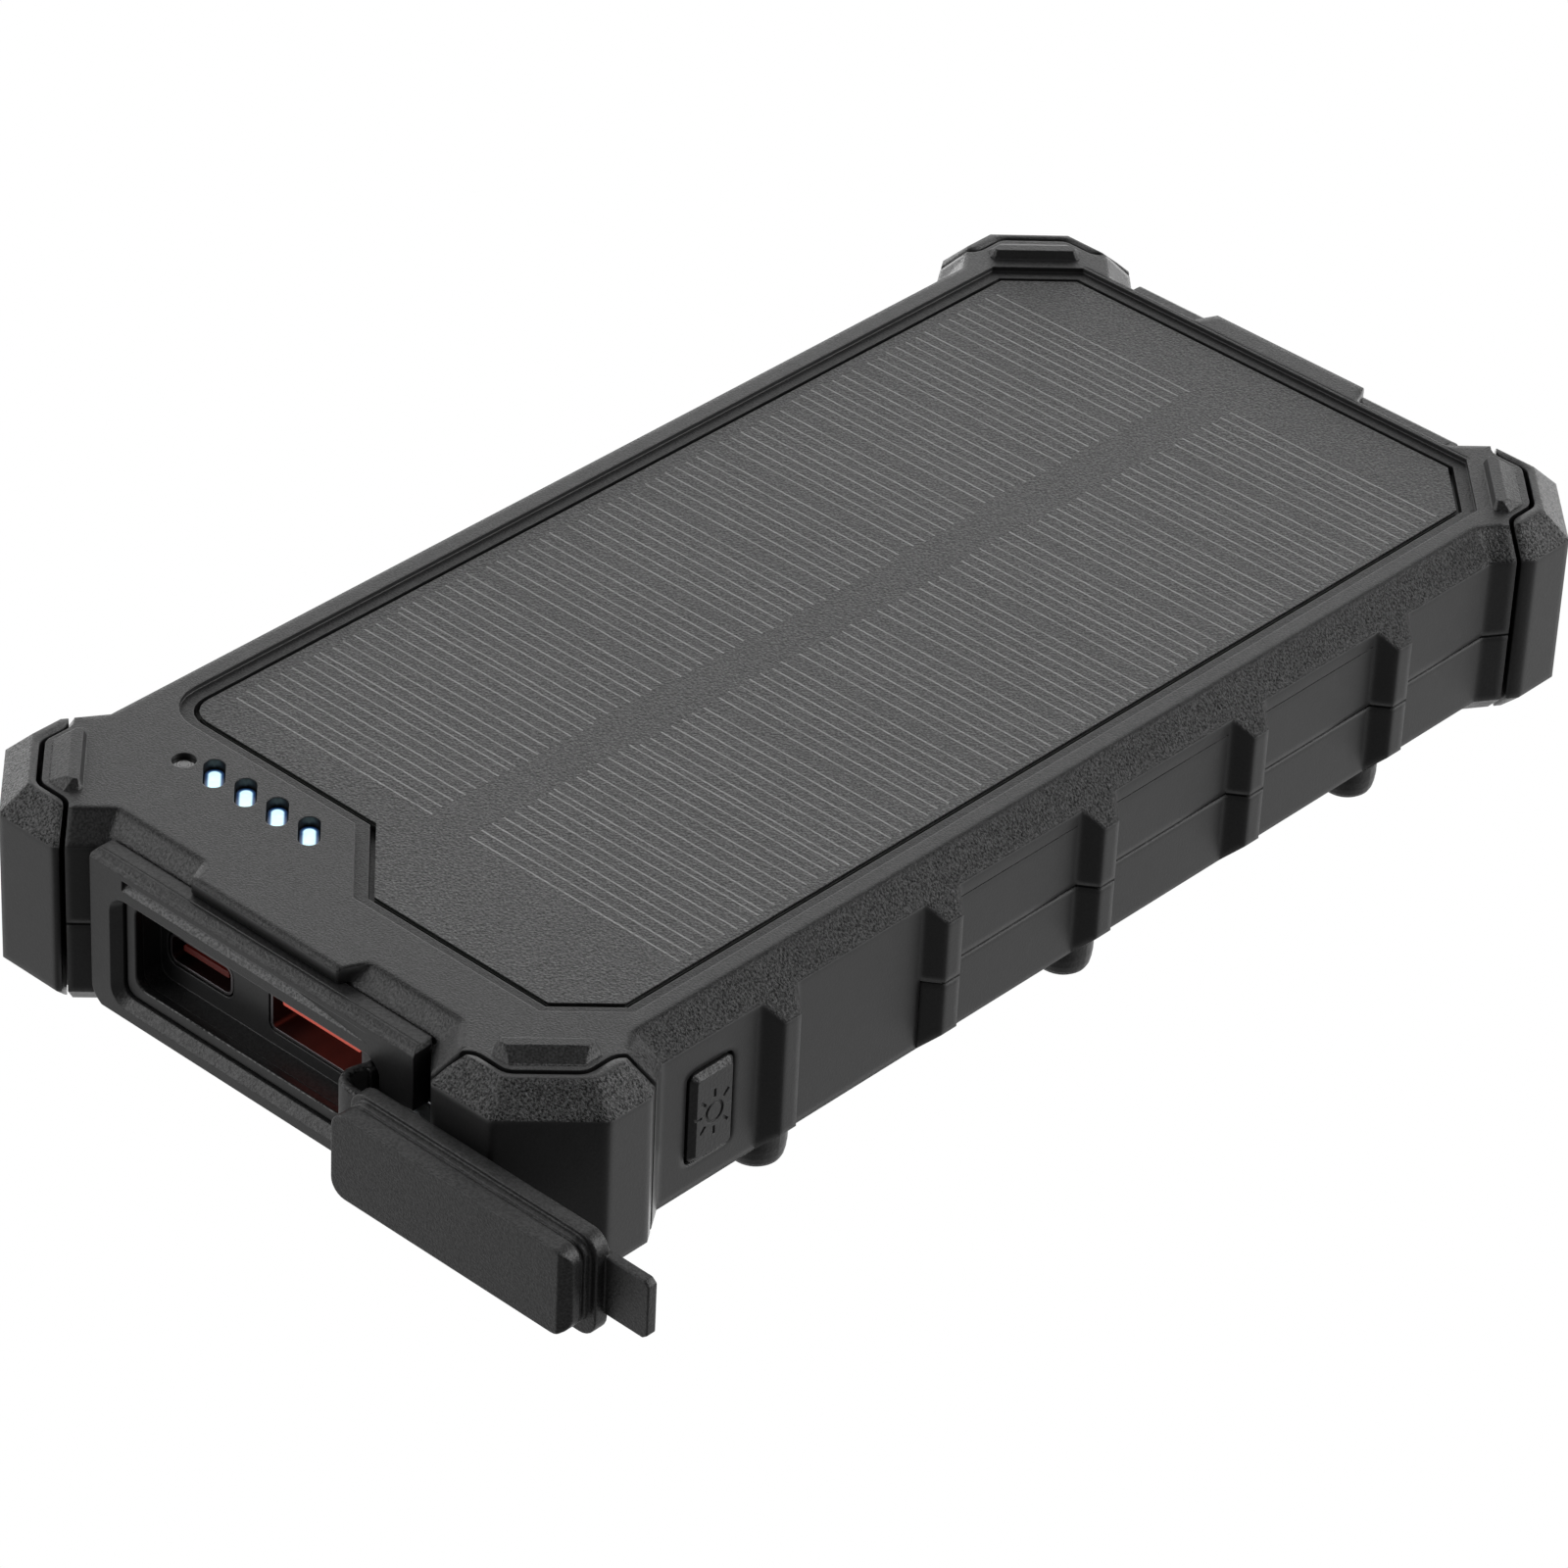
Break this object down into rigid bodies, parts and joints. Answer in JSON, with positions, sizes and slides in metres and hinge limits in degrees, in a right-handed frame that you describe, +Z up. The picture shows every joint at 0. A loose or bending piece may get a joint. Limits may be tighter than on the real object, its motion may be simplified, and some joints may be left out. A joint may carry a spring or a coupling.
{
  "type": "solar power bank",
  "caption": "Rugged black solar power bank with corner bumpers, ribbed sides, a recessed solar panel, charge lights, a side light button and a hinged rubber cover over its charging ports.",
  "frame": {"origin": "middle of the underside of the housing, 1.4 mm above the soles of the feet", "axes": "+Z up out of the solar panel, -Y towards the port end, +X towards the light button"},
  "size_m": [0.1007, 0.1704, 0.026],
  "materials": {
    "black_part": "matt",
    "bumper": "coarse-grained black over-mould",
    "button": "satin black",
    "can": "satin",
    "circuit_board": "green solder mask",
    "clear_lens": "clear polycarbonate",
    "contact": "gold-plated",
    "cover_rubber": "fine-grained black silicone",
    "dark_insert": "satin black",
    "dark_red_insert": "dark red",
    "fibreboard": "glass-fibre board",
    "foam": "closed-cell foam",
    "lamp_die": "yellow phosphor",
    "light_bar": "translucent, lit",
    "panel_film": "embossed grey film",
    "plunger": "satin",
    "pouch": "laminated foil",
    "red_insert": "coral red",
    "reflector": "vacuum metallised",
    "shell": "fine-grained black ABS",
    "silicon": "dark silicon",
    "steel": "nickel-plated",
    "tab_metal": "nickel",
    "tape": "double-sided foam tape",
    "window": "dark translucent",
    "wire": "insulated wire"
  },
  "bodies": {
    "charger": {"upper_housing": "shell", "lower_housing": "shell", "bumper_front_right": "bumper", "bumper_front_left": "bumper", "bumper_rear_right": "bumper", "bumper_rear_left": "bumper", "port_bezel": "shell", "port_ring": "dark_insert", "rear_bezel": "shell", "cover_strap_anchor": "cover_rubber", "button_seal": "cover_rubber", "tact_switch": "black_part", "torch_lens": "clear_lens", "torch_reflector": "reflector", "torch_diode": "lamp_die", "solar_cover_sheet": "panel_film", "solar_cells": "silicon", "solar_backing": "fibreboard", "panel_adhesive": "tape", "panel_leads": "wire", "light_guide": "light_bar", "status_window": "window", "indicator_board": "circuit_board", "indicator_diodes": "lamp_die", "rubber_feet": "cover_rubber", "housing_seal": "cover_rubber", "battery_cell_lower": "pouch", "battery_cell_upper": "pouch", "cell_pad": "foam", "cell_tabs": "tab_metal", "protection_board": "circuit_board", "battery_leads": "wire", "main_board": "circuit_board", "usb_a_shell": "steel", "usb_a_tongue": "red_insert", "usb_a_contacts": "contact", "usb_c_shell": "steel", "usb_c_tongue": "dark_red_insert", "power_inductor": "black_part", "controller_chips": "black_part", "capacitors": "can", "housing_screws": "steel", "board_screws": "steel"},
    "port_cover_part": {"port_cover": "cover_rubber"},
    "light_button_part": {"light_button": "button"},
    "switch_plunger_part": {"switch_plunger": "plunger"}
  },
  "joints": [
    {"name": "cover_hinge", "type": "hinge", "parent": "charger", "child": "port_cover_part", "pos_m": [0.0171, -0.0823, 0.0123], "axis": [0, 0, 1], "range_deg": [-180, 0]},
    {"name": "light_button_press", "type": "slide", "parent": "charger", "child": "light_button_part", "axis": [-1, 0, 0], "range_m": [0, 0.0005]},
    {"name": "switch_plunger_press", "type": "slide", "parent": "charger", "child": "switch_plunger_part", "axis": [-1, 0, 0], "range_m": [0, 0.0005]}
  ],
  "couplings": [
    {"joint": "switch_plunger_press", "follows": "light_button_press", "ratio": 1}
  ]
}
